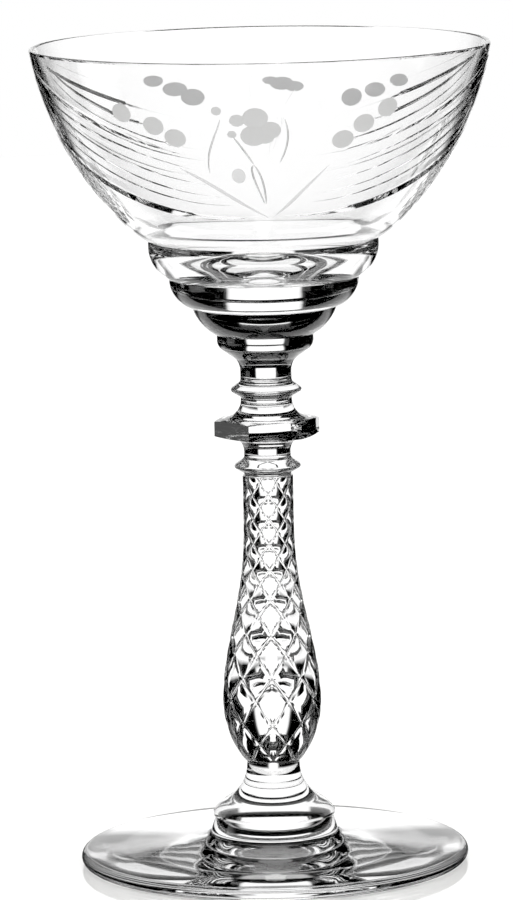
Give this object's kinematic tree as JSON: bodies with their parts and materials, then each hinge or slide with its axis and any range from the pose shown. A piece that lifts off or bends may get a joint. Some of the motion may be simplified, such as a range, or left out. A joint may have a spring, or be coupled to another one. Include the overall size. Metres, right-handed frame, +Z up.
{
  "type": "coupe glass",
  "caption": "Stemmed coupe glass for sparkling wine or cocktails, with a flared bowl on a stepped base, a quilted baluster stem with ring knops and a six-sided collar, and a round foot",
  "frame": {"origin": "on the table, under the middle of the foot", "axes": "+Z up along the stem, -Y to the front of the bowl with the flower, +X to the right seen from the front"},
  "size_m": [0.0904, 0.0904, 0.1626],
  "materials": {
    "clear_glass": "clear fire-polished crystal, with polished and matt cut ornament on the bowl"
  },
  "bodies": {
    "root": {"bowl": "clear_glass", "stem": "clear_glass", "foot": "clear_glass"}
  },
  "joints": []
}
